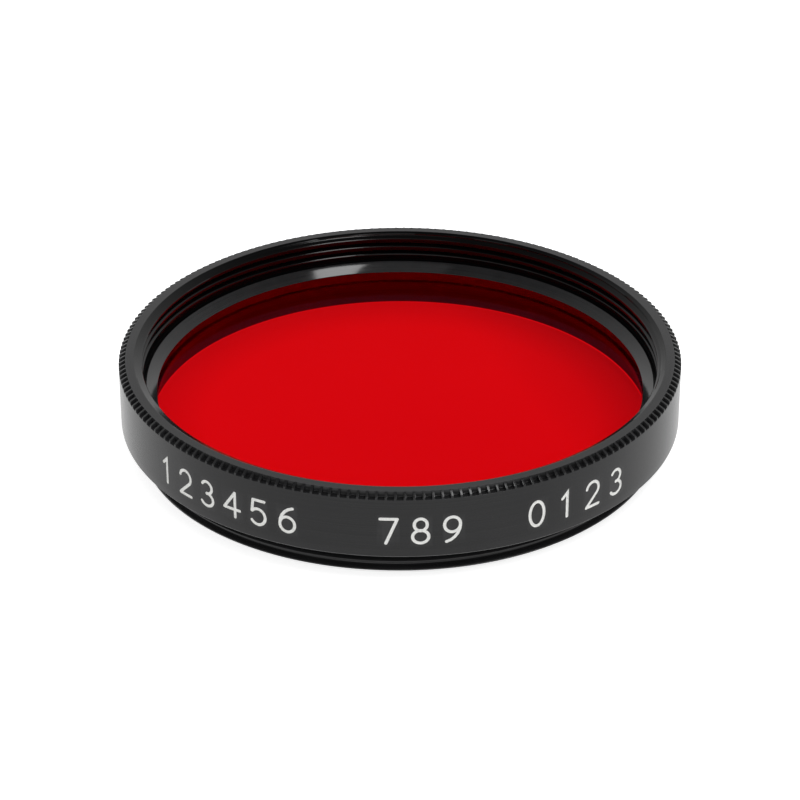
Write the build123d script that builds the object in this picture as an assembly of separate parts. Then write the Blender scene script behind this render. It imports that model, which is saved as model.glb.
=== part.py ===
from build123d import *
import math
import os

# Screw-in colour filter for a 43 mm lens thread: a turned ring, a red glass disc
# and a retaining ring. Millimetres, Z along the optical axis, Z = 0 on the end
# face of the rear thread, on which the filter stands. The thread's size sets
# every other radius through the walls and steps named below.

# Rear male thread, left plain at its major radius
REAR_THREAD_RADIUS = 21.5
REAR_THREAD_LENGTH = 2.44
REAR_THREAD_CHAMFER = 0.1
REAR_WALL = 0.9
REAR_BORE_CHAMFER = 0.15
RELIEF_DEPTH = 0.5
RELIEF_WIDTH = 0.45

# Rim band above the rear thread
TOTAL_HEIGHT = 8.0
RIM_OVERHANG = 1.5
RIM_CHAMFER_WIDTH = 0.5
RIM_CHAMFER_DROP = 0.3
BAND_EDGE_BREAK = 0.1

# Straight knurl round the rim: slots with radial sides, a little deeper than the
# rim's chamfer, open at the top and closed below, their width measured on the rim
KNURL_PITCH = 0.7225
SLOT_WIDTH = 0.53
SLOT_DEPTH = 0.55
SLOT_HEIGHT = 0.48

# Front female thread of the same nominal size, left plain at its minor radius
FRONT_THREAD_DEPTH = 0.4
FRONT_MOUTH_CLEARANCE = 0.25
FRONT_MOUTH_DEPTH = 0.35

# Retaining ring in a bore of its own: conical face above a low inner land
RETAINER_SHOULDER = 0.25
RETAINER_SIDE_CLEARANCE = 0.03
RETAINER_WIDTH = 0.85
RETAINER_OUTER_HEIGHT = 0.7
RETAINER_INNER_HEIGHT = 0.05

# Glass, its pocket and the ledge that carries it
POCKET_SHOULDER = 0.25
GLASS_SIDE_CLEARANCE = 0.05
GLASS_THICKNESS = 2.5
GLASS_BEVEL = 0.15
SEAT_HEIGHT = 2.35
LEDGE_WIDTH = 0.6
LEDGE_THICKNESS = 0.5

# Worked out from the sizes above, from the thread outwards and inwards
OUTER_RADIUS = REAR_THREAD_RADIUS + RIM_OVERHANG
RELIEF_RADIUS = REAR_THREAD_RADIUS - RELIEF_DEPTH
REAR_BORE_RADIUS = REAR_THREAD_RADIUS - REAR_WALL
SLOT_COUNT = round(2 * math.pi * OUTER_RADIUS / KNURL_PITCH)
FRONT_MOUTH_RADIUS = REAR_THREAD_RADIUS + FRONT_MOUTH_CLEARANCE
FRONT_THREAD_RADIUS = REAR_THREAD_RADIUS - FRONT_THREAD_DEPTH
RETAINER_BORE_RADIUS = FRONT_THREAD_RADIUS - RETAINER_SHOULDER
RETAINER_OUTER_RADIUS = RETAINER_BORE_RADIUS - RETAINER_SIDE_CLEARANCE
RETAINER_INNER_RADIUS = RETAINER_OUTER_RADIUS - RETAINER_WIDTH
POCKET_RADIUS = RETAINER_BORE_RADIUS - POCKET_SHOULDER
GLASS_RADIUS = POCKET_RADIUS - GLASS_SIDE_CLEARANCE
LEDGE_RADIUS = POCKET_RADIUS - LEDGE_WIDTH
GLASS_TOP = SEAT_HEIGHT + GLASS_THICKNESS
RETAINER_TOP = GLASS_TOP + RETAINER_OUTER_HEIGHT
KNURL_BOTTOM = TOTAL_HEIGHT - SLOT_HEIGHT


def turned(points):
    """Revolve a closed half section, given as (radius, height) points, about Z."""
    outline = Polyline(*points, close=True)
    section = make_face(outline)
    return revolve(Plane.XZ * section, Axis.Z)


def ring_blank():
    """The ring as it leaves the lathe, before the knurl is cut."""
    outside = [
        (REAR_THREAD_RADIUS - REAR_THREAD_CHAMFER, 0),
        (REAR_THREAD_RADIUS, REAR_THREAD_CHAMFER),
        (REAR_THREAD_RADIUS, REAR_THREAD_LENGTH - RELIEF_WIDTH),
        (RELIEF_RADIUS, REAR_THREAD_LENGTH - RELIEF_WIDTH),
        (RELIEF_RADIUS, REAR_THREAD_LENGTH),
        (OUTER_RADIUS - BAND_EDGE_BREAK, REAR_THREAD_LENGTH),
        (OUTER_RADIUS, REAR_THREAD_LENGTH + BAND_EDGE_BREAK),
        (OUTER_RADIUS, TOTAL_HEIGHT - RIM_CHAMFER_DROP),
        (OUTER_RADIUS - RIM_CHAMFER_WIDTH, TOTAL_HEIGHT),
    ]
    inside = [
        (FRONT_MOUTH_RADIUS, TOTAL_HEIGHT),
        (FRONT_THREAD_RADIUS, TOTAL_HEIGHT - FRONT_MOUTH_DEPTH),
        (FRONT_THREAD_RADIUS, RETAINER_TOP),
        (RETAINER_BORE_RADIUS, RETAINER_TOP),
        (RETAINER_BORE_RADIUS, GLASS_TOP),
        (POCKET_RADIUS, GLASS_TOP),
        (POCKET_RADIUS, SEAT_HEIGHT),
        (LEDGE_RADIUS, SEAT_HEIGHT),
        (LEDGE_RADIUS, SEAT_HEIGHT - LEDGE_THICKNESS),
        (REAR_BORE_RADIUS, SEAT_HEIGHT - LEDGE_THICKNESS),
        (REAR_BORE_RADIUS, REAR_BORE_CHAMFER),
        (REAR_BORE_RADIUS + REAR_BORE_CHAMFER, 0),
    ]
    return turned(outside + inside)


def knurl_cutters():
    """One wedge per knurl slot, reaching past the rim upwards and outwards."""
    floor_radius = OUTER_RADIUS - SLOT_DEPTH
    far_radius = OUTER_RADIUS + SLOT_DEPTH
    taper = SLOT_WIDTH / 2 / OUTER_RADIUS
    corners = [
        (floor_radius, -floor_radius * taper),
        (far_radius, -far_radius * taper),
        (far_radius, far_radius * taper),
        (floor_radius, floor_radius * taper),
    ]
    wedge = extrude(make_face(Polyline(*corners, close=True)), 2 * SLOT_HEIGHT)
    places = PolarLocations(0, SLOT_COUNT)
    return [Pos(0, 0, KNURL_BOTTOM) * place * wedge for place in places]


def filter_ring():
    """The turned ring with its knurl slots cut."""
    return ring_blank() - knurl_cutters()


def filter_glass():
    """A plane disc with both rims bevelled, standing on the ledge."""
    return turned(
        [
            (0, SEAT_HEIGHT),
            (GLASS_RADIUS - GLASS_BEVEL, SEAT_HEIGHT),
            (GLASS_RADIUS, SEAT_HEIGHT + GLASS_BEVEL),
            (GLASS_RADIUS, GLASS_TOP - GLASS_BEVEL),
            (GLASS_RADIUS - GLASS_BEVEL, GLASS_TOP),
            (0, GLASS_TOP),
        ]
    )


def retaining_ring():
    """The ring on top of the glass, its face sloping down to the opening."""
    return turned(
        [
            (RETAINER_INNER_RADIUS, GLASS_TOP),
            (RETAINER_OUTER_RADIUS, GLASS_TOP),
            (RETAINER_OUTER_RADIUS, RETAINER_TOP),
            (RETAINER_INNER_RADIUS, GLASS_TOP + RETAINER_INNER_HEIGHT),
        ]
    )


PIECES = {
    "filter_ring": filter_ring,
    "filter_glass": filter_glass,
    "retaining_ring": retaining_ring,
}

os.makedirs("parts", exist_ok=True)
for name, make in PIECES.items():
    export_step(make(), f"parts/{name}.step")
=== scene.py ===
import logging
import math
from dataclasses import dataclass
from enum import Enum, IntEnum

import bmesh
import bpy
import numpy as np
from mathutils import Matrix, Vector
from mathutils.geometry import delaunay_2d_cdt


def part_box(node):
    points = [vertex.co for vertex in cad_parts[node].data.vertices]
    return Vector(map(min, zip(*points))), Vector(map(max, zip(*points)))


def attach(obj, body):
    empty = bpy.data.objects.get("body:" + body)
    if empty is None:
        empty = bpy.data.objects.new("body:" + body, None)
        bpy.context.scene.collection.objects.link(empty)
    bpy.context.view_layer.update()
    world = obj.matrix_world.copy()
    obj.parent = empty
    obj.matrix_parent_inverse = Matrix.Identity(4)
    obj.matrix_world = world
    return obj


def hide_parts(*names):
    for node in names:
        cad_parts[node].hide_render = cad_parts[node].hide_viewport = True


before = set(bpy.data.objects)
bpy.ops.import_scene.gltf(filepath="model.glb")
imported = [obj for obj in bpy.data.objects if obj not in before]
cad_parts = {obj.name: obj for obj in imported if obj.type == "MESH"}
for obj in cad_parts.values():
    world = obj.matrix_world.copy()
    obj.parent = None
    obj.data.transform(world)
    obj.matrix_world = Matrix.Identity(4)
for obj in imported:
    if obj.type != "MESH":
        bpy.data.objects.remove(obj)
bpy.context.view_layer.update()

# Looks of a screw-in red lens filter: the turned ring with its knurl, threads and
# engraved figures, the retaining ring, the glass, and the studio it stands in.
# Sizes are in millimetres and become metres where a mesh is made.

log = logging.getLogger("lens_filter")

MILLIMETRE = 0.001
TURN = 2.0 * math.pi
Outline = list[tuple[float, float]]


class MaterialSlot(Enum):
    """The record's material slots."""

    RING = "ring_anodised"
    GLASS = "red_glass"
    RETAINER = "retainer_anodised"


class Fit(Enum):
    """Which side of its wall a screw thread is cut in."""

    MALE = "male"
    FEMALE = "female"


class Coat(IntEnum):
    """Number of each finish on the ring."""

    OUTSIDE = 0
    PAINT = 1
    THREAD = 2
    WELL = 3
    BORE = 4


@dataclass(frozen=True)
class Extent:
    """Outer radius, bottom and top of a round piece, in millimetres."""

    radius: float
    bottom: float
    top: float

    @classmethod
    def of(cls, node: str) -> "Extent":
        """Measure a node of the frame, to a ten-thousandth of a millimetre."""
        low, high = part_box(node)
        return cls(*(round(size / MILLIMETRE, 4) for size in (high[0], low[2], high[2])))


def eased(corners: list[tuple[float, float, float]], steps: int = 3) -> Outline:
    """Round the inner corners of an open outline.

    Args:
        corners: (radius, height, corner radius) of each corner in order.
        steps: Number of short edges that take the place of one corner.

    Returns:
        The outline's points, always steps + 1 for each inner corner.
    """
    points = [corners[0][:2]]
    for before, here, after in zip(corners, corners[1:], corners[2:]):
        corner = np.array(here[:2])
        back = np.array(before[:2]) - corner
        ahead = np.array(after[:2]) - corner
        reach = min(here[2], 0.45 * np.linalg.norm(back), 0.45 * np.linalg.norm(ahead))
        start = corner + back * (reach / max(np.linalg.norm(back), 1e-9))
        end = corner + ahead * (reach / max(np.linalg.norm(ahead), 1e-9))
        for step in range(steps + 1):
            t = step / steps
            point = (1 - t) ** 2 * start + 2 * t * (1 - t) * corner + t * t * end
            points.append((float(point[0]), float(point[1])))
    points.append(corners[-1][:2])
    return points


def linked(name: str, data: bpy.types.ID) -> bpy.types.Object:
    """Make an object of some data and link it to the scene."""
    piece = bpy.data.objects.new(name, data)
    bpy.context.scene.collection.objects.link(piece)
    return piece


class Shell:
    """Gathers the sheets of one closed piece and welds them into a mesh."""

    WELD = 1e5

    def __init__(self, name: str) -> None:
        """Start an empty shell for the piece called name."""
        self.name = name
        self.points: list[np.ndarray] = []
        self.faces: list[tuple[int, ...]] = []
        self.finishes: list[int] = []
        self.count = 0

    def add_points(self, points: np.ndarray) -> int:
        """Add points and return the number of the first one.

        Args:
            points: Array of (x, y, z) rows in millimetres.

        Returns:
            The number of the first added point.
        """
        first = self.count
        self.points.append(np.asarray(points, dtype=float).reshape(-1, 3))
        self.count += len(self.points[-1])
        return first

    def add_face(self, numbers: tuple[int, ...], finish: int) -> None:
        """Add one face by the numbers of its points."""
        self.faces.append(numbers)
        self.finishes.append(finish)

    def add_grid(self, rows: np.ndarray, finish: int, around: bool = True) -> None:
        """Add a sheet of four-sided faces.

        Args:
            rows: Points with shape (rows, columns, 3).
            finish: Number of the finish on the piece.
            around: Whether the last column joins the first.
        """
        height, width = rows.shape[:2]
        first = self.add_points(rows)
        last = width if around else width - 1
        for i in range(height - 1):
            low = first + i * width
            high = low + width
            for j in range(last):
                k = (j + 1) % width
                self.add_face((low + j, low + k, high + k, high + j), finish)

    def add_turned(self, outline: Outline, angles: np.ndarray, finish: int) -> None:
        """Turn an open outline of (radius, height) points about the axis."""
        self.add_grid(np.stack([ring_at(r, z, angles) for r, z in outline]), finish)

    def add_fans(self, coarse: np.ndarray, fine: np.ndarray, finish: int) -> None:
        """Join a ring of few points to a ring that has a whole multiple of them."""
        a = self.add_points(coarse)
        b = self.add_points(fine)
        many = len(fine) // len(coarse)
        half = many // 2
        for j in range(len(coarse)):
            here, following = a + j, a + (j + 1) % len(coarse)
            edge = [b + (j * many + k) % len(fine) for k in range(many + 1)]
            for k in range(half):
                self.add_face((here, edge[k], edge[k + 1]), finish)
            self.add_face((here, edge[half], following), finish)
            for k in range(half, many):
                self.add_face((following, edge[k], edge[k + 1]), finish)

    def welded(self) -> tuple[np.ndarray, list[tuple[int, ...]], list[int]]:
        """Merge points that coincide and drop the faces that vanish.

        Returns:
            Points in metres, faces and their finishes.
        """
        points = np.concatenate(self.points)
        keys = np.rint(points * self.WELD).astype(np.int64)
        _, first, inverse = np.unique(keys, axis=0, return_index=True, return_inverse=True)
        inverse = inverse.reshape(-1)
        faces, finishes = [], []
        for numbers, finish in zip(self.faces, self.finishes):
            merged = [int(inverse[n]) for n in numbers]
            kept = [n for i, n in enumerate(merged) if n != merged[i - 1]]
            if len(kept) > 2 and len(set(kept)) == len(kept):
                faces.append(tuple(kept))
                finishes.append(finish)
        return points[first] * MILLIMETRE, faces, finishes

    def make_piece(self, materials: list[bpy.types.Material], sharp: float) -> bpy.types.Object:
        """Make the Blender object, shaded smooth between its sharp edges.

        Args:
            materials: The materials in the order of their numbers.
            sharp: Angle in degrees above which an edge is sharp.

        Returns:
            The new object, linked to the scene.
        """
        points, faces, finishes = self.welded()
        mesh = bpy.data.meshes.new(self.name)
        mesh.from_pydata(points.tolist(), [], faces)
        for material in materials:
            mesh.materials.append(material)
        mesh.polygons.foreach_set("material_index", finishes)
        shape = bmesh.new()
        shape.from_mesh(mesh)
        bmesh.ops.recalc_face_normals(shape, faces=shape.faces)
        # Convex edges are marked here, and the finishes paint them paler: partly wear and partly a
        # painted highlight along the edges.
        wear_and_highlight = shape.verts.layers.float.new("edge_wear_and_highlight")
        limit = math.radians(sharp)
        for face in shape.faces:
            face.smooth = True
        for edge in shape.edges:
            angle = edge.calc_face_angle_signed(0.0)
            edge.smooth = abs(angle) < limit
            for vertex in edge.verts:
                vertex[wear_and_highlight] = max(vertex[wear_and_highlight], min(1.0, angle / math.radians(35.0)))
        open_edges = sum(1 for edge in shape.edges if not edge.is_manifold)
        shape.to_mesh(mesh)
        shape.free()
        piece = linked(self.name, mesh)
        weighted = piece.modifiers.new("flat faces lead", "WEIGHTED_NORMAL")
        weighted.keep_sharp = True
        log.info("%s: %d faces, %d open edges", self.name, len(mesh.polygons), open_edges)
        return piece


def ring_at(radius: float, height: float, angles: np.ndarray) -> np.ndarray:
    """Points at the given angles on a circle about the axis, as (x, y, z) rows."""
    level = np.full_like(angles, height)
    return np.stack([radius * np.cos(angles), radius * np.sin(angles), level], axis=-1)


class NodeSheet:
    """Short calls that lay out and join the nodes of one material or world."""

    def __init__(self, tree: bpy.types.NodeTree) -> None:
        """Clear the tree and start with an empty sheet."""
        self.tree = tree
        tree.nodes.clear()

    def add(self, kind: str, inputs: dict | None = None, **settings: object) -> bpy.types.Node:
        """Add a node.

        Args:
            kind: Blender's name for the node's type.
            inputs: Value or source for each input, by name or number.
            settings: Properties of the node itself.

        Returns:
            The new node.
        """
        node = self.tree.nodes.new(kind)
        for name, value in settings.items():
            setattr(node, name, value)
        for name, value in (inputs or {}).items():
            self.put(node.inputs[name], value)
        return node

    def put(self, socket: bpy.types.NodeSocket, value: object) -> None:
        """Link the socket if value is an output, or else set it."""
        if isinstance(value, bpy.types.NodeSocket):
            self.tree.links.new(value, socket)
        else:
            socket.default_value = value

    def maths(self, operation: str, a: object, b: object = 0.0) -> bpy.types.NodeSocket:
        """Work out one sum of two values and return its output."""
        return self.add("ShaderNodeMath", {0: a, 1: b}, operation=operation).outputs[0]

    def spread(self, value: object, low: float, high: float, to_low: float,
               to_high: float) -> bpy.types.NodeSocket:
        """Spread a value from the range low to high to another one, clamped."""
        inputs = {"Value": value, "From Min": low, "From Max": high,
                  "To Min": to_low, "To Max": to_high}
        return self.add("ShaderNodeMapRange", inputs).outputs[0]

    def noise(self, vector: object, scale: float, detail: float = 2.0) -> bpy.types.NodeSocket:
        """Add a noise texture and return its value, which is around one half."""
        inputs = {"Vector": vector, "Scale": scale, "Detail": detail}
        return self.add("ShaderNodeTexNoise", inputs).outputs[0]

    def blend(self, factor: object, a: object, b: object) -> bpy.types.NodeSocket:
        """Mix two colours by a factor and return the colour."""
        node = self.add("ShaderNodeMix", data_type="RGBA")
        self.put(node.inputs[0], factor)
        self.put(node.inputs[6], a)
        self.put(node.inputs[7], b)
        return node.outputs[2]

    def bump(self, height: object, strength: float, distance: float,
             **normal: bpy.types.NodeSocket) -> bpy.types.NodeSocket:
        """Turn a height into a bumped normal, on top of another one if that is given."""
        inputs = {"Height": height, "Strength": strength, "Distance": distance, **normal}
        return self.add("ShaderNodeBump", inputs).outputs[0]

    def along_cut(self, drift: float = 0.02) -> tuple[bpy.types.NodeSocket, bpy.types.NodeSocket]:
        """Coordinates that follow the lathe tool, so that noise on them makes fine rings.

        Args:
            drift: How fast the marks change on the way round.

        Returns:
            The plain object coordinates and the stretched ones.
        """
        place = self.add("ShaderNodeTexCoord").outputs["Object"]
        parts = self.add("ShaderNodeSeparateXYZ", {0: place}).outputs
        square = self.maths("ADD", self.maths("MULTIPLY", parts[0], parts[0]),
                            self.maths("MULTIPLY", parts[1], parts[1]))
        radius = self.maths("SQRT", square)
        angle = self.maths("ARCTAN2", parts[1], parts[0])
        bend = self.maths("MULTIPLY", self.maths("SINE", angle), drift * 0.02)
        inputs = {"X": radius, "Y": parts[2], "Z": bend}
        return place, self.add("ShaderNodeCombineXYZ", inputs).outputs[0]


@dataclass(frozen=True)
class Finish:
    """What all finishes share: a name and a material made of nodes."""

    name: str

    def dress(self, sheet: NodeSheet) -> bpy.types.Node:
        """Lay out the nodes and return the shader."""
        raise NotImplementedError

    def make(self) -> bpy.types.Material:
        """Build the material.

        Returns:
            The material with all its nodes.
        """
        material = bpy.data.materials.new(self.name)
        material.use_nodes = True
        sheet = NodeSheet(material.node_tree)
        shader = self.dress(sheet)
        sheet.add("ShaderNodeOutputMaterial", {"Surface": shader.outputs[0]})
        return material


@dataclass(frozen=True)
class AnodisedFinish(Finish):
    """Dyed anodising on turned aluminium: fine rings, fine grain, and paler convex edges that are
    partly wear and partly a painted edge highlight.
    """

    dark: tuple[float, float, float] = (0.0075, 0.0075, 0.008)
    light: tuple[float, float, float] = (0.012, 0.012, 0.0125)
    # Colour of convex edges: wear together with a painted edge highlight.
    edge: tuple[float, float, float] = (0.05, 0.05, 0.052)
    wear_and_highlight_share: float = 0.35
    roughness: float = 0.20
    roughness_swing: float = 0.04
    refraction: float = 1.4
    ring_bump: float = 0.15
    grain_bump: float = 0.08
    ring_scale: float = 9000.0
    grain_scale: float = 22000.0
    cloud_scale: float = 160.0
    wear_scale: float = 900.0

    def dress(self, sheet: NodeSheet) -> bpy.types.Node:
        """Lay out the nodes.

        Args:
            sheet: The material's empty sheet.

        Returns:
            The shader that the material shows.
        """
        place, cut = sheet.along_cut()
        rings = sheet.noise(cut, self.ring_scale, 4.0)
        grain = sheet.noise(place, self.grain_scale, 2.0)
        cloud = sheet.noise(place, self.cloud_scale, 3.0)
        # Paler convex edges in patches: wear, and a painted highlight along the edges.
        worn_and_highlit = sheet.add("ShaderNodeAttribute", attribute_name="edge_wear_and_highlight").outputs["Fac"]
        patchy = sheet.spread(sheet.noise(place, self.wear_scale, 3.0), 0.35, 0.65, 0.4, 1.0)
        worn_and_highlit = sheet.maths("MULTIPLY", sheet.maths("MULTIPLY", worn_and_highlit, patchy), self.wear_and_highlight_share)
        tone = sheet.spread(sheet.maths("ADD", sheet.maths("MULTIPLY", rings, 0.6),
                                        sheet.maths("MULTIPLY", cloud, 0.4)), 0.38, 0.62, 0.0, 1.0)
        body = sheet.blend(tone, (*self.dark, 1.0), (*self.light, 1.0))
        colour = sheet.blend(worn_and_highlit, body, (*self.edge, 1.0))
        low = self.roughness - self.roughness_swing
        high = self.roughness + self.roughness_swing
        rough = sheet.spread(sheet.maths("ADD", sheet.maths("MULTIPLY", rings, 0.5),
                                         sheet.maths("MULTIPLY", grain, 0.5)), 0.35, 0.65, low, high)
        bumped = sheet.bump(rings, self.ring_bump, 0.000004)
        bumped = sheet.bump(grain, self.grain_bump, 0.000002, Normal=bumped)
        return sheet.add("ShaderNodeBsdfPrincipled", {
            "Base Color": colour, "Roughness": rough, "Normal": bumped,
            "IOR": self.refraction})


@dataclass(frozen=True)
class FilledPaint(Finish):
    """White paint rubbed into the engraved figures."""

    name: str = "white_engraving_paint"
    white: tuple[float, float, float] = (0.83, 0.83, 0.81)
    thin: tuple[float, float, float] = (0.66, 0.66, 0.65)

    def dress(self, sheet: NodeSheet) -> bpy.types.Node:
        """Lay out the nodes.

        Args:
            sheet: The material's empty sheet.

        Returns:
            The shader that the material shows.
        """
        place = sheet.add("ShaderNodeTexCoord").outputs["Object"]
        streaks = sheet.noise(place, 4500.0, 4.0)
        colour = sheet.blend(sheet.spread(streaks, 0.5, 0.78, 0.0, 1.0),
                             (*self.white, 1.0), (*self.thin, 1.0))
        bumped = sheet.bump(streaks, 0.4, 0.00001)
        rough = sheet.spread(streaks, 0.3, 0.7, 0.45, 0.65)
        return sheet.add("ShaderNodeBsdfPrincipled", {
            "Base Color": colour, "Roughness": rough, "Normal": bumped})


@dataclass(frozen=True)
class RedGlass(Finish):
    """Glass dyed deep red through its thickness, with a coating that kills its shine."""

    name: str = "deep_red_glass"
    tint: tuple[float, float, float] = (0.655, 0.0012, 0.0014)
    streak: tuple[float, float, float] = (0.64, 0.001, 0.0012)
    coating_depth: float = 172.0
    coating_refraction: float = 1.163
    shine: float = 0.35

    def dress(self, sheet: NodeSheet) -> bpy.types.Node:
        """Lay out the nodes.

        Args:
            sheet: The material's empty sheet.

        Returns:
            The shader that the material shows.
        """
        place = sheet.add("ShaderNodeTexCoord").outputs["Object"]
        cloud = sheet.noise(place, 45.0, 2.0)
        colour = sheet.blend(sheet.spread(cloud, 0.35, 0.65, 0.0, 1.0),
                             (*self.tint, 1.0), (*self.streak, 1.0))
        polish = sheet.noise(place, 3000.0, 3.0)
        rough = sheet.spread(polish, 0.3, 0.7, 0.0, 0.015)
        bumped = sheet.bump(cloud, 0.02, 0.00001)
        return sheet.add("ShaderNodeBsdfPrincipled", {
            "Base Color": colour, "Roughness": rough, "Normal": bumped, "IOR": 1.5,
            "Transmission Weight": 1.0,
            "Specular Tint": (self.shine, self.shine, self.shine, 1.0),
            "Thin Film Thickness": self.coating_depth, "Thin Film IOR": self.coating_refraction})


@dataclass(frozen=True)
class GroundRim(Finish):
    """The disc's rim, ground dull, which closes the sides of the glass."""

    name: str = "ground_glass_rim"
    pale: tuple[float, float, float] = (0.24, 0.12, 0.11)
    dull: tuple[float, float, float] = (0.16, 0.08, 0.075)

    def dress(self, sheet: NodeSheet) -> bpy.types.Node:
        """Lay out the nodes.

        Args:
            sheet: The material's empty sheet.

        Returns:
            The shader that the material shows.
        """
        place = sheet.add("ShaderNodeTexCoord").outputs["Object"]
        grit = sheet.noise(place, 9000.0, 3.0)
        colour = sheet.blend(sheet.spread(grit, 0.35, 0.65, 0.0, 1.0),
                             (*self.pale, 1.0), (*self.dull, 1.0))
        bumped = sheet.bump(grit, 0.5, 0.00002)
        rough = sheet.spread(grit, 0.3, 0.7, 0.75, 0.95)
        return sheet.add("ShaderNodeBsdfPrincipled", {
            "Base Color": colour, "Roughness": rough, "Normal": bumped})


@dataclass(frozen=True)
class PaleFloor(Finish):
    """The floor: plain and pale, white to the camera, with painted shade near the ring where the
    glass shows it.
    """

    name: str = "pale_floor"
    pale: tuple[float, float, float] = (0.8, 0.8, 0.8)
    speck: tuple[float, float, float] = (0.78, 0.78, 0.78)
    glow: float = 0.72
    shade_under_ring: float = 0.2
    shade_at_side: float = 0.25
    shade_from: float = 0.016
    shade_to: float = 0.0206
    side_from: float = 0.011
    side_lean: tuple[float, float] = (0.93, 0.36)

    def dress(self, sheet: NodeSheet) -> bpy.types.Node:
        """Lay out the nodes.

        Args:
            sheet: The material's empty sheet.

        Returns:
            The shader that the material shows.
        """
        place = sheet.add("ShaderNodeTexCoord").outputs["Object"]
        specks = sheet.noise(place, 60.0, 3.0)
        colour = sheet.blend(specks, (*self.pale, 1.0), (*self.speck, 1.0))
        plain = sheet.add("ShaderNodeBsdfDiffuse", {"Color": colour})
        path = sheet.add("ShaderNodeLightPath").outputs
        glow = sheet.add("ShaderNodeEmission", {"Strength": sheet.maths(
            "MULTIPLY", path["Is Camera Ray"], self.glow)})
        seen = sheet.add("ShaderNodeAddShader", {0: plain.outputs[0], 1: glow.outputs[0]})
        # Reflections and the glass see the floor as an even glow with a painted shadow: darker
        # towards the ring's wall under the glass, and darker still towards the right and far side.
        parts = sheet.add("ShaderNodeSeparateXYZ", {0: place}).outputs
        flat = sheet.add("ShaderNodeCombineXYZ", {"X": parts[0], "Y": parts[1]}).outputs[0]
        away = sheet.add("ShaderNodeVectorMath", {0: flat}, operation="LENGTH").outputs["Value"]
        shade = sheet.spread(away, self.shade_from, self.shade_to, 0.0, self.shade_under_ring)
        across = sheet.maths("ADD", sheet.maths("MULTIPLY", parts[0], self.side_lean[0]),
                             sheet.maths("MULTIPLY", parts[1], self.side_lean[1]))
        corner = sheet.spread(across, self.side_from, self.shade_to, 0.0, self.shade_at_side)
        level = sheet.maths("SUBTRACT", sheet.maths("SUBTRACT", 1.0, shade), corner)
        under = sheet.maths("LESS_THAN", away, self.shade_to)
        level = sheet.maths("MAXIMUM", level, sheet.maths("SUBTRACT", 1.0, under))
        white = sheet.add("ShaderNodeEmission", {"Strength": level})
        bounce = sheet.maths("MAXIMUM", path["Is Glossy Ray"], path["Is Transmission Ray"])
        return sheet.add("ShaderNodeMixShader", {0: bounce, 1: seen.outputs[0],
                                                 2: white.outputs[0]})


@dataclass(frozen=True)
class ScrewThread:
    """A metric thread sheet that follows its helix between two end planes."""

    fit: Fit
    crest_radius: float
    root_radius: float
    crest_flat: float
    root_flat: float
    low: float
    high: float
    crest_height: float
    lead_in: float
    lead_depth: float = 0.35
    run_out: float = 0.16
    pitch: float = 0.75
    rows_per_turn: int = 16

    def radius(self, angle: np.ndarray, height: np.ndarray) -> np.ndarray:
        """Radius of the thread's surface.

        Args:
            angle: Angles in radians.
            height: Heights in millimetres.

        Returns:
            The radius at each place.
        """
        phase = (height - self.crest_height) / self.pitch - angle / TURN
        away = np.abs(phase - np.rint(phase)) * self.pitch
        flank = 0.5 * (self.pitch - self.crest_flat - self.root_flat)
        share = np.clip((away - 0.5 * self.crest_flat) / flank, 0.0, 1.0)
        share = share - 0.06 * np.sin(TURN * share)
        return self.crest_radius + (self.root_radius - self.crest_radius) * share

    def trimmed(self, angle: np.ndarray, height: np.ndarray) -> np.ndarray:
        """The thread's radius after its lead-in and run-out are cut.

        Args:
            angle: Angles in radians.
            height: Heights in millimetres.

        Returns:
            The radius at each place.
        """
        cut = self.radius(angle, height)
        if self.fit is Fit.MALE:
            return np.minimum(cut, self.crest_radius - self.lead_in + height)
        depth = np.clip((height - self.low) / self.run_out, 0.0, 1.0)
        cut = self.crest_radius + (cut - self.crest_radius) * depth
        rise = (height - self.high + self.lead_depth) / self.lead_depth
        return np.maximum(cut, self.crest_radius + self.lead_in * rise)

    def sheet(self, columns: int) -> np.ndarray:
        """The whole thread as rows of points.

        Args:
            columns: Number of columns round the axis.

        Returns:
            Points with shape (rows, columns + 1, 3), the last column being the first
            one a turn further on.
        """
        angles = np.linspace(0.0, TURN, columns + 1)
        step = self.pitch / self.rows_per_turn
        turns = int(math.ceil((self.high - self.low) / step)) + self.rows_per_turn
        starts = self.low - self.pitch + step * np.arange(turns + 1)
        offset = (self.crest_height - self.low) % step
        heights = starts[:, None] + offset + self.pitch * angles[None, :] / TURN
        heights = np.clip(heights, self.low, self.high)
        grid = np.broadcast_to(angles, heights.shape)
        radii = self.trimmed(grid, heights)
        return np.stack([radii * np.cos(grid), radii * np.sin(grid), heights], axis=-1)


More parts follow.
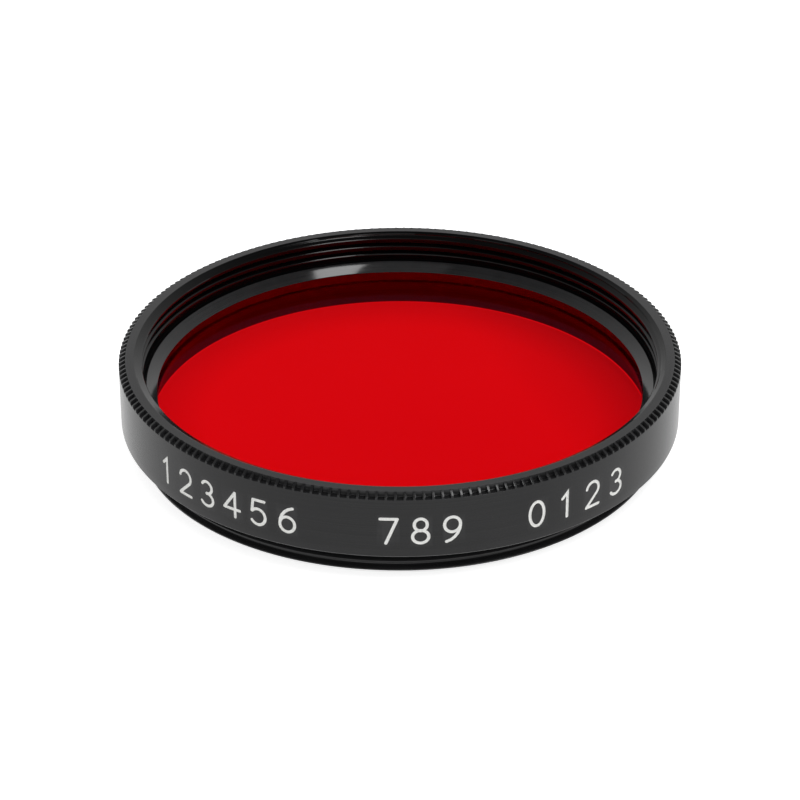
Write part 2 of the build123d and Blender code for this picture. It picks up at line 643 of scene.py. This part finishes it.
class FigureStrokes:
    """Single strokes of the plain figures 0 to 9 in a box 1 wide and 1.3 high."""

    @staticmethod
    def bow(cx: float, cy: float, rx: float, ry: float, start: float, end: float) -> Outline:
        """Points along part of an ellipse, from one angle to another in degrees."""
        count = max(4, int(abs(end - start) / 15.0))
        angles = np.radians(np.linspace(start, end, count + 1))
        return [(cx + rx * math.cos(a), cy + ry * math.sin(a)) for a in angles]

    @classmethod
    def of(cls, figure: str) -> list[Outline]:
        """The strokes of one figure.

        Args:
            figure: A figure from 0 to 9.

        Returns:
            Open lines of points.
        """
        bow = cls.bow
        strokes = {
            "0": [bow(0.5, 0.65, 0.4, 0.65, 90, 270), bow(0.5, 0.65, 0.4, 0.65, 270, 450)],
            "1": [[(0.26, 1.02), (0.56, 1.3), (0.56, 0.0)]],
            "2": [bow(0.5, 0.92, 0.4, 0.38, 170, -38) + [(0.08, 0.0)], [(0.08, 0.0), (0.92, 0.0)]],
            "3": [bow(0.47, 0.98, 0.34, 0.32, 150, -90), bow(0.47, 0.34, 0.41, 0.34, 90, -150)],
            "4": [[(0.7, 0.0), (0.7, 1.3)], [(0.7, 1.3), (0.04, 0.4)], [(0.04, 0.4), (0.98, 0.4)]],
            "5": [[(0.84, 1.3), (0.2, 1.3)], [(0.2, 1.3), (0.13, 0.7)],
                  bow(0.46, 0.42, 0.42, 0.42, 140, -145)],
            "6": [bow(0.5, 0.4, 0.4, 0.4, 0, 180), bow(0.5, 0.4, 0.4, 0.4, 180, 360),
                  bow(0.98, 0.4, 0.88, 0.92, 180, 102)],
            "7": [[(0.08, 1.3), (0.92, 1.3)], [(0.92, 1.3), (0.36, 0.0)]],
            "8": [bow(0.5, 0.98, 0.32, 0.32, 90, 270), bow(0.5, 0.98, 0.32, 0.32, 270, 450),
                  bow(0.5, 0.34, 0.4, 0.34, 90, 270), bow(0.5, 0.34, 0.4, 0.34, 270, 450)],
            "9": [bow(0.5, 0.9, 0.4, 0.4, 0, 180), bow(0.5, 0.9, 0.4, 0.4, 180, 360),
                  bow(0.02, 0.9, 0.88, 0.92, 0, -78)],
        }
        return strokes[figure]

    @staticmethod
    def widened(line: Outline, width: float) -> Outline:
        """The closed outline of a round-ended stroke.

        Args:
            line: The stroke's middle line.
            width: Width of the stroke.

        Returns:
            The outline's points in order.
        """
        points = [np.array(p) for p in line]
        half = 0.5 * width
        runs = [b - a for a, b in zip(points, points[1:])]
        slopes = [math.atan2(run[1], run[0]) for run in runs]

        def side(places: list[int], sign: float) -> Outline:
            """Points beside the middle line on one side."""
            out = []
            for i in places:
                near = [slopes[max(i - 1, 0)], slopes[min(i, len(slopes) - 1)]]
                turn = (near[1] - near[0] + math.pi) % TURN - math.pi
                lean = near[0] + 0.5 * turn
                reach = half / math.cos(0.5 * turn)
                out.append((points[i][0] - sign * reach * math.sin(lean),
                            points[i][1] + sign * reach * math.cos(lean)))
            return out

        def cap(centre: np.ndarray, start: float) -> Outline:
            """Half a turn of points round one end."""
            angles = [start - math.pi * k / 8 for k in range(1, 8)]
            return [(centre[0] + half * math.cos(a), centre[1] + half * math.sin(a))
                    for a in angles]

        order = list(range(len(points)))
        outline = (side(order, 1.0) + cap(points[-1], slopes[-1] + 0.5 * math.pi)
                   + side(order[::-1], -1.0) + cap(points[0], slopes[0] - 0.5 * math.pi))
        return outline[::-1]


@dataclass(frozen=True)
class FigureGroup:
    """A run of figures on the band, between two angles in degrees."""

    figures: str
    start: float
    end: float


@dataclass
class FilterRing:
    """The turned, knurled and threaded ring that carries everything else."""

    size: Extent
    glass: Extent
    retainer: Extent
    columns: int = 400
    rim_overhang: float = 1.5
    band_bottom: float = 2.44
    band_break: float = 0.1
    rim_chamfer_width: float = 0.5
    rim_chamfer_drop: float = 0.3
    slot_count: int = 200
    slot_depth: float = 0.55
    slot_height: float = 0.48
    slot_half_width: float = 0.265
    strip_height: float = 0.16
    rim_land: float = 0.12
    face_land: float = 0.2
    mouth_clearance: float = 0.25
    mouth_land: float = 0.03
    thread_depth: float = 0.4
    front_thread_low: float = 6.0
    front_crest_flat: float = 0.1875
    front_root_flat: float = 0.094
    front_crest_height: float = 7.27
    rear_thread_depth: float = 0.46
    rear_crest_flat: float = 0.094
    rear_root_flat: float = 0.124
    rear_crest_height: float = 0.55
    rear_chamfer: float = 0.1
    relief_depth: float = 0.5
    relief_width: float = 0.45
    pocket_clearance: float = 0.05
    retainer_clearance: float = 0.03
    shoulder_land: float = 0.1
    seat_gap: float = 0.01
    ledge_width: float = 0.6
    ledge_thickness: float = 0.5
    bore_chamfer: float = 0.15
    end_land: float = 0.05
    edge: float = 0.035
    inner_edge: float = 0.02
    bore_edge: float = 0.03
    ledge_edge: float = 0.04
    sharp_angle: float = 42.0
    figure_height: float = 2.15
    figure_width: float = 1.55
    figure_level: float = 3.72
    stroke_width: float = 0.25
    engraving_depth: float = 0.06
    patch_low: float = 3.3
    patch_high: float = 6.3
    groups: tuple[FigureGroup, ...] = (
        FigureGroup("123456", 215.3, 249.9),
        FigureGroup("789", 265.9, 281.9),
        FigureGroup("0123", 295.2, 319.0),
    )

    def __post_init__(self) -> None:
        """Work out the radii and heights that follow from the sizes, and lay the columns."""
        self.outer_radius = self.size.radius
        self.total_height = self.size.top
        self.slot_bottom = self.total_height - self.slot_height
        self.face_radius = self.outer_radius - self.slot_depth - self.face_land
        self.major_radius = self.outer_radius - self.rim_overhang
        self.minor_radius = self.major_radius - self.thread_depth
        self.mouth_radius = self.major_radius + self.mouth_clearance
        self.relief_radius = self.major_radius - self.relief_depth
        self.relief_bottom = self.band_bottom - self.relief_width
        self.end_radius = self.relief_radius - self.end_land
        self.pocket_radius = self.glass.radius + self.pocket_clearance
        self.retainer_bore = self.retainer.radius + self.retainer_clearance
        self.ledge_radius = self.pocket_radius - self.ledge_width
        self.ledge_bottom = self.glass.bottom - self.ledge_thickness
        self.angles = np.linspace(0.0, TURN, self.columns, endpoint=False)
        self.closed_angles = np.linspace(0.0, TURN, self.columns + 1)
        self.shell = Shell("ring_turned")

    def columns_of_pitch(self) -> list[tuple[float, float]]:
        """Columns across one slot and half a land on each side.

        Returns:
            (place along the rim, depth) from the middle of one land.
        """
        half = math.pi * self.outer_radius / self.slot_count
        w, d = self.slot_half_width, self.slot_depth
        left = [(-half, 0.0), (-w - 0.031, 0.0), (-w - 0.010, 0.009), (-w - 0.001, 0.030),
                (-w + 0.001, d - 0.05), (-w + 0.015, d - 0.012), (-w + 0.055, d)]
        right = [(-place, depth) for place, depth in left[:0:-1]]
        return left + [(0.0, d)] + right

    def rim_section(self, depth: float) -> Outline:
        """Section from the band over the rim to the face, through a cut of a given depth.

        Args:
            depth: How deep the knurl is cut here.

        Returns:
            The section's points, as many for every depth.
        """
        floor = self.outer_radius - depth
        top = self.total_height
        slope = self.rim_chamfer_drop / self.rim_chamfer_width
        turn = min(top, top - self.rim_chamfer_drop + depth * slope)
        inner = min(self.outer_radius - self.rim_chamfer_width, floor)
        corners = [
            (self.outer_radius, self.slot_bottom - 0.5 * self.strip_height, 0.0),
            (self.outer_radius, self.slot_bottom, self.inner_edge),
            (floor, self.slot_bottom, self.ledge_edge),
            (floor, turn, self.edge),
            (inner, top, self.edge),
            (self.outer_radius - self.slot_depth - self.rim_land, top, 0.0),
        ]
        return eased(corners)

    def cut_knurl(self) -> None:
        """Add the rim with its slots, from just under them to inside of them."""
        pitch = TURN / self.slot_count
        sections, angles = [], []
        across = self.columns_of_pitch()
        outlines = {depth: self.rim_section(depth) for _, depth in across}
        for number in range(self.slot_count):
            for place, depth in across:
                angles.append(number * pitch + place / self.outer_radius)
                sections.append(outlines[depth])
        turns = np.array(angles)
        profile = np.array(sections)
        rows = np.stack([profile[:, :, 0] * np.cos(turns)[:, None],
                         profile[:, :, 0] * np.sin(turns)[:, None],
                         profile[:, :, 1]], axis=-1).transpose(1, 0, 2)
        self.shell.add_grid(rows, Coat.OUTSIDE)
        coarse = turns[:: len(across) // 2]
        band = ring_at(self.outer_radius, self.slot_bottom - self.strip_height, coarse)
        self.shell.add_fans(band, rows[0], Coat.OUTSIDE)
        face = ring_at(self.face_radius, self.total_height, coarse)
        self.shell.add_fans(face, rows[-1], Coat.OUTSIDE)

    def turn_band(self) -> None:
        """Add the band from its bottom edge to the knurl, open where figures go."""
        lower = eased([
            (self.major_radius, self.band_bottom, 0.0),
            (self.outer_radius - self.band_break, self.band_bottom, self.edge),
            (self.outer_radius, self.band_bottom + self.band_break, self.edge),
            (self.outer_radius, self.patch_low, 0.0),
        ])
        self.shell.add_turned(lower, self.angles, Coat.OUTSIDE)
        top = self.slot_bottom - self.strip_height
        self.shell.add_turned([(self.outer_radius, self.patch_high), (self.outer_radius, top)],
                              self.angles, Coat.OUTSIDE)
        taken = np.zeros(self.columns, dtype=bool)
        for group in self.groups:
            first, last = self.patch_columns(group)
            taken[first:last] = True
            self.engrave(group, first, last)
        low = ring_at(self.outer_radius, self.patch_low, self.angles)
        high = ring_at(self.outer_radius, self.patch_high, self.angles)
        a, b = self.shell.add_points(low), self.shell.add_points(high)
        for j in np.flatnonzero(~taken):
            k = (j + 1) % self.columns
            self.shell.add_face((a + int(j), a + int(k), b + int(k), b + int(j)), Coat.OUTSIDE)

    def patch_columns(self, group: FigureGroup) -> tuple[int, int]:
        """First and last column of the patch that holds a group of figures."""
        step = 360.0 / self.columns
        return int(group.start / step) - 2, int(group.end / step) + 3

    def engrave(self, group: FigureGroup, first: int, last: int) -> None:
        """Cut a group of figures into the band.

        Args:
            group: The figures and where they stand.
            first: First column of the patch.
            last: Last column of the patch.
        """
        arc = TURN * self.outer_radius / self.columns
        plane: list[tuple[float, float]] = []
        edges: list[tuple[int, int]] = []
        strokes: list[list[int]] = []
        for column in range(last - first + 1):
            plane += [(column * arc, self.patch_low), (column * arc, self.patch_high)]
            edges.append((len(plane) - 2, len(plane) - 1))
        begin = math.radians(group.start) * self.outer_radius - first * arc
        end = math.radians(group.end) * self.outer_radius - first * arc
        scale = self.figure_height / 1.3
        gap = (end - begin - self.figure_width) / max(len(group.figures) - 1, 1)
        for number, figure in enumerate(group.figures):
            left = begin + number * gap
            for line in FigureStrokes.of(figure):
                placed = [(left + x * self.figure_width, self.figure_level + y * scale)
                          for x, y in line]
                outline = FigureStrokes.widened(placed, self.stroke_width)
                strokes.append(list(range(len(plane), len(plane) + len(outline))))
                plane += outline
        result = delaunay_2d_cdt([Vector(p) for p in plane], edges, strokes, 0, 1e-6)
        spots, triangles, sources, owners = result[0], result[2], result[3], result[5]
        flat = np.array([plane[s[0]] if s else tuple(v) for v, s in zip(spots, sources)])
        outside = self.on_band(flat, first, arc, self.outer_radius)
        inside = self.on_band(flat, first, arc, self.outer_radius - self.engraving_depth)
        a, b = self.shell.add_points(outside), self.shell.add_points(inside)
        rims: dict[tuple[int, int], None] = {}
        for triangle, owner in zip(triangles, owners):
            cut = bool(owner)
            base, coat = (b, Coat.PAINT) if cut else (a, Coat.OUTSIDE)
            self.shell.add_face(tuple(base + n for n in triangle), coat)
            if cut:
                for i, n in enumerate(triangle):
                    pair = (triangle[i - 1], n)
                    if pair[::-1] in rims:
                        del rims[pair[::-1]]
                    else:
                        rims[pair] = None
        for m, n in rims:
            self.shell.add_face((a + m, a + n, b + n, b + m), Coat.PAINT)

    def on_band(self, flat: np.ndarray, first: int, arc: float, radius: float) -> np.ndarray:
        """Lay flat points on the band's facets.

        Args:
            flat: (place along the band, height) rows.
            first: Column at which the patch starts.
            arc: Width of one column.
            radius: Radius to lay them at.

        Returns:
            Array of (x, y, z) rows.
        """
        column = np.floor(flat[:, 0] / arc + 1e-7)
        share = np.clip(flat[:, 0] / arc - column, 0.0, 1.0)
        share[share < 1e-5] = 0.0
        step = TURN / self.columns
        here = (first + column) * step
        following = here + step
        x = (1 - share) * np.cos(here) + share * np.cos(following)
        y = (1 - share) * np.sin(here) + share * np.sin(following)
        return np.stack([radius * x, radius * y, flat[:, 1]], axis=-1)

    def cut_front_thread(self) -> None:
        """Add the face inside the knurl, the mouth and the front thread."""
        self.shell.add_turned(
            [(self.face_radius, self.total_height),
             (self.mouth_radius + self.mouth_land, self.total_height),
             (self.mouth_radius, self.total_height)], self.angles, Coat.OUTSIDE)
        thread = ScrewThread(
            Fit.FEMALE, self.minor_radius, self.major_radius, self.front_crest_flat,
            self.front_root_flat, self.front_thread_low, self.total_height,
            crest_height=self.front_crest_height, lead_in=self.mouth_radius - self.minor_radius)
        self.shell.add_grid(thread.sheet(self.columns), Coat.THREAD, around=False)

    def turn_well(self) -> None:
        """Add the well, the pocket, the ledge and the rear bore."""
        shoulder = self.pocket_radius + self.shoulder_land
        seat = self.glass.bottom - self.seat_gap
        self.shell.add_turned(eased([
            (self.minor_radius, self.front_thread_low, 0.0),
            (self.minor_radius, self.retainer.top, self.inner_edge),
            (self.retainer_bore, self.retainer.top, self.inner_edge),
            (self.retainer_bore, self.glass.top, self.inner_edge),
            (shoulder, self.glass.top, 0.0),
        ]), self.angles, Coat.WELL)
        self.shell.add_turned(eased([
            (shoulder, self.glass.top, 0.0),
            (self.pocket_radius, self.glass.top, self.inner_edge),
            (self.pocket_radius, seat, self.inner_edge),
            (self.ledge_radius, seat, self.ledge_edge),
            (self.ledge_radius, self.ledge_bottom, self.ledge_edge),
            (self.pocket_radius, self.ledge_bottom, self.bore_edge),
            (self.pocket_radius, self.bore_chamfer, self.bore_edge),
            (self.pocket_radius + self.bore_chamfer, 0.0, self.bore_edge),
            (self.end_radius, 0.0, 0.0),
        ]), self.angles, Coat.BORE)

    def cut_rear_thread(self) -> None:
        """Add the rear thread and the relief groove above it."""
        thread = ScrewThread(
            Fit.MALE, self.major_radius, self.major_radius - self.rear_thread_depth,
            self.rear_crest_flat, self.rear_root_flat, 0.0, self.relief_bottom,
            crest_height=self.rear_crest_height, lead_in=self.rear_chamfer)
        sheet = thread.sheet(self.columns)
        groove = ring_at(self.relief_radius, self.relief_bottom, self.closed_angles)
        flat = ring_at(self.end_radius, 0.0, self.closed_angles)
        self.shell.add_grid(sheet, Coat.OUTSIDE, around=False)
        self.shell.add_grid(np.stack([sheet[-1], groove]), Coat.OUTSIDE, around=False)
        self.shell.add_turned(eased([
            (self.relief_radius, self.relief_bottom, 0.0),
            (self.relief_radius, self.band_bottom, self.ledge_edge),
            (self.major_radius, self.band_bottom, 0.0),
        ]), self.angles, Coat.OUTSIDE)
        self.shell.add_grid(np.stack([flat, sheet[0]]), Coat.OUTSIDE, around=False)

    def build(self, coats: dict[Coat, AnodisedFinish | FilledPaint]) -> bpy.types.Object:
        """Build and dress the ring.

        Args:
            coats: The finish of each part of its surface.

        Returns:
            The ring, in the place of its node.
        """
        self.cut_knurl()
        self.turn_band()
        self.cut_front_thread()
        self.turn_well()
        self.cut_rear_thread()
        piece = self.shell.make_piece([coats[coat].make() for coat in Coat], self.sharp_angle)
        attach(piece, "root")
        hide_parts("filter_ring")
        return piece


@dataclass
class RetainingRing:
    """The ring on top of the glass, its face sloping down to the opening."""

    size: Extent
    width: float = 0.85
    inner_height: float = 0.05
    top_edge: float = 0.04
    fine_edge: float = 0.02
    opening_edge: float = 0.01
    sharp_angle: float = 42.0
    columns: int = 400

    def build(self, finish: AnodisedFinish) -> bpy.types.Object:
        """Build and dress the ring.

        Args:
            finish: Its finish.

        Returns:
            The ring, in the place of its node.
        """
        outer = self.size.radius
        inner = outer - self.width
        middle = 0.5 * (inner + outer)
        outline = eased([
            (middle, self.size.bottom, 0.0),
            (outer, self.size.bottom, self.fine_edge),
            (outer, self.size.top, self.top_edge),
            (inner, self.size.bottom + self.inner_height, self.fine_edge),
            (inner, self.size.bottom, self.opening_edge),
            (middle, self.size.bottom, 0.0),
        ])
        shell = Shell("retaining_ring_turned")
        shell.add_turned(outline, np.linspace(0.0, TURN, self.columns, endpoint=False), 0)
        piece = shell.make_piece([finish.make()], self.sharp_angle)
        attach(piece, "root")
        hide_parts("retaining_ring")
        return piece


@dataclass
class GlassDisc:
    """The plane disc of red glass with bevelled rims."""

    size: Extent
    bevel: float = 0.15
    fine_edge: float = 0.02
    face_circles: tuple[float, ...] = (0.0, 6.0, 14.0, 18.0)
    sharp_angle: float = 30.0
    columns: int = 400

    def build(self, finish: RedGlass, rim: GroundRim) -> bpy.types.Object:
        """Build and dress the disc.

        Args:
            finish: Its glass.
            rim: The finish of its ground rim and bevels.

        Returns:
            The disc, in the place of its node.
        """
        angles = np.linspace(0.0, TURN, self.columns, endpoint=False)
        radius, bottom, top = self.size.radius, self.size.bottom, self.size.top
        flat = radius - self.bevel - self.fine_edge
        shell = Shell("glass_disc")
        for level in (bottom, top):
            shell.add_turned([(r, level) for r in (*self.face_circles, flat)], angles, 0)
        shell.add_turned(eased([
            (flat, bottom, 0.0),
            (radius - self.bevel, bottom, self.fine_edge),
            (radius, bottom + self.bevel, self.fine_edge),
            (radius, top - self.bevel, self.fine_edge),
            (radius - self.bevel, top, self.fine_edge),
            (flat, top, 0.0),
        ]), angles, 1)
        piece = shell.make_piece([finish.make(), rim.make()], self.sharp_angle)
        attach(piece, "root")
        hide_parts("filter_glass")
        return piece


@dataclass(frozen=True)
class SoftBox:
    """A rectangular studio lamp aimed at the filter."""

    name: str
    direction: tuple[float, float, float]
    distance: float
    width: float
    length: float
    radiance: float
    side: tuple[float, float, float] = (1.0, 0.0, 0.0)

    def build(self, aim: Vector) -> bpy.types.Object:
        """Hang the lamp.

        Args:
            aim: The point that it faces.

        Returns:
            The lamp.
        """
        lamp = bpy.data.lights.new(self.name, "AREA")
        lamp.shape = "RECTANGLE"
        lamp.size = self.width
        lamp.size_y = self.length
        lamp.energy = self.radiance * math.pi * self.width * self.length
        piece = linked(self.name, lamp)
        toward = Vector(self.direction).normalized()
        across = Vector(self.side)
        across = (across - across.dot(toward) * toward).normalized()
        facing = Matrix((across, toward.cross(across), toward)).transposed().to_4x4()
        piece.matrix_world = Matrix.Translation(aim + toward * self.distance) @ facing
        return piece


@dataclass(frozen=True)
class Studio:
    """Pale floor, plain soft light and the camera of the photograph."""

    floor_radius: float = 1.4
    floor: PaleFloor = PaleFloor()
    aim: tuple[float, float, float] = (0.0, 0.0, 0.005)
    elevation: float = 28.575
    tilt: float = 29.5376
    distance: float = 247.753
    lens: float = 136.065
    roll: float = -0.0557
    walls: tuple[tuple[float, float], ...] = (
        (0.0, 1.0), (0.30, 0.92), (0.47, 0.78), (0.62, 0.58), (0.72, 0.42), (0.85, 0.17), (1.0, 0.08),
    )
    lamps: tuple[SoftBox, ...] = (
        SoftBox("key", (0.308, -0.235, 0.915), 1.0, 0.21, 0.5, 9.0, (0.19, 0.084, -0.035)),
        SoftBox("overhead", (0.0, -0.25, 1.0), 1.2, 0.5, 0.5, 0.3),
        SoftBox("front_fill", (-0.15, -1.0, 0.35), 1.4, 0.9, 0.6, 0.9),
        SoftBox("right_panel", (1.0, 0.1, 0.1), 1.0, 0.5, 0.35, 1.6),
    )

    def lay_floor(self) -> None:
        """Lay the floor, which the camera sees as white under a soft shadow."""
        mesh = bpy.data.meshes.new("floor")
        angles = np.linspace(0.0, TURN, 96, endpoint=False)
        rim = ring_at(self.floor_radius, 0.0, angles)
        mesh.from_pydata([tuple(p) for p in rim], [], [tuple(range(len(rim)))])
        mesh.materials.append(self.floor.make())
        floor = linked("floor", mesh)

    def light_world(self) -> None:
        """Light the room: white to the camera, darker towards the ceiling in reflections."""
        world = bpy.data.worlds.new("studio_room")
        bpy.context.scene.world = world
        world.use_nodes = True
        sheet = NodeSheet(world.node_tree)
        view = sheet.add("ShaderNodeTexCoord").outputs["Generated"]
        rise = sheet.add("ShaderNodeSeparateXYZ", {0: view}).outputs[2]
        ramp = sheet.add("ShaderNodeValToRGB", {"Fac": rise})
        while len(ramp.color_ramp.elements) < len(self.walls):
            ramp.color_ramp.elements.new(1.0)
        for stop, (place, level) in zip(ramp.color_ramp.elements, self.walls):
            stop.position = place
            stop.color = (level, level, level, 1.0)
        path = sheet.add("ShaderNodeLightPath").outputs
        room = sheet.add("ShaderNodeBackground", {"Color": (0.75, 0.75, 0.75, 1.0)})
        glossy = sheet.add("ShaderNodeBackground", {"Color": ramp.outputs[0]})
        white = sheet.add("ShaderNodeBackground", {"Color": (1.0, 1.0, 1.0, 1.0)})
        first = sheet.add("ShaderNodeMixShader", {0: path["Is Glossy Ray"], 1: room.outputs[0],
                                                  2: glossy.outputs[0]})
        shown = sheet.maths("MAXIMUM", path["Is Camera Ray"], path["Is Transmission Ray"])
        last = sheet.add("ShaderNodeMixShader", {0: shown, 1: first.outputs[0],
                                                 2: white.outputs[0]})
        sheet.add("ShaderNodeOutputWorld", {"Surface": last.outputs[0]})

    def place_camera(self, rim_height: float) -> None:
        """Place the camera.

        Args:
            rim_height: Height of the front rim in metres.
        """
        camera = bpy.data.cameras.new("camera")
        camera.lens = self.lens
        camera.sensor_width = 36.0
        camera.clip_start = 0.01
        camera.clip_end = 20.0
        piece = linked("camera", camera)
        rise = math.radians(self.elevation)
        reach = self.distance * MILLIMETRE
        place = Vector((0.0, -reach * math.cos(rise), rim_height + reach * math.sin(rise)))
        lean = Matrix.Rotation(math.radians(90.0 - self.tilt), 4, "X")
        turn = Matrix.Rotation(math.radians(self.roll), 4, "Z")
        piece.matrix_world = Matrix.Translation(place) @ lean @ turn
        bpy.context.scene.camera = piece

    def build(self) -> None:
        """Set up the floor, the room, the lamps and the camera."""
        bpy.context.scene.view_settings.view_transform = "Standard"
        self.lay_floor()
        self.light_world()
        for lamp in self.lamps:
            lamp.build(Vector(self.aim))
        self.place_camera(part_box("filter_ring")[1][2])


def main() -> None:
    """Build every piece in order and report it."""
    logging.basicConfig(level=logging.INFO, format="%(name)s: %(message)s")
    ring_size = Extent.of("filter_ring")
    glass_size = Extent.of("filter_glass")
    retainer_size = Extent.of("retaining_ring")
    # The thread and the well get darker copies of the outside's anodising: painted shade inside the
    # ring.
    painted_shade_near_black = {"dark": (0.0006, 0.0006, 0.0007), "light": (0.0012, 0.0012, 0.0013),
                  "ring_bump": 0.06, "grain_bump": 0.03, "roughness_swing": 0.03}
    ring = FilterRing(ring_size, glass_size, retainer_size).build({
        Coat.OUTSIDE: AnodisedFinish("black_anodised_satin"),
        Coat.PAINT: FilledPaint(),
        Coat.THREAD: AnodisedFinish("black_anodised_thread_painted_shade", edge=(0.01, 0.01, 0.01),
                                    refraction=1.3, roughness=0.14, **painted_shade_near_black),
        Coat.WELL: AnodisedFinish("black_anodised_well_painted_shade", edge=(0.004, 0.004, 0.004),
                                  refraction=1.09, roughness=0.2, **painted_shade_near_black),
        # The pocket, ledge and rear bore get a lighter grey copy of the anodising: painted light,
        # which shows brighter through the red glass.
        Coat.BORE: AnodisedFinish("black_anodised_bore_painted_light", dark=(0.06, 0.06, 0.06),
                                  light=(0.095, 0.095, 0.095), edge=(0.1, 0.1, 0.1),
                                  refraction=1.5, roughness=0.35, roughness_swing=0.05),
    })
    log.info("ring built: %s", ring.name)
    retainer = RetainingRing(retainer_size).build(AnodisedFinish(
        "black_anodised_retainer", roughness=0.09, roughness_swing=0.02, ring_bump=0.05,
        grain_bump=0.02))
    log.info("retaining ring built: %s", retainer.name)
    glass = GlassDisc(glass_size).build(RedGlass(), GroundRim())
    log.info("glass built: %s", glass.name)
    Studio().build()
    log.info("studio built")


if __name__ == "__main__":
    main()
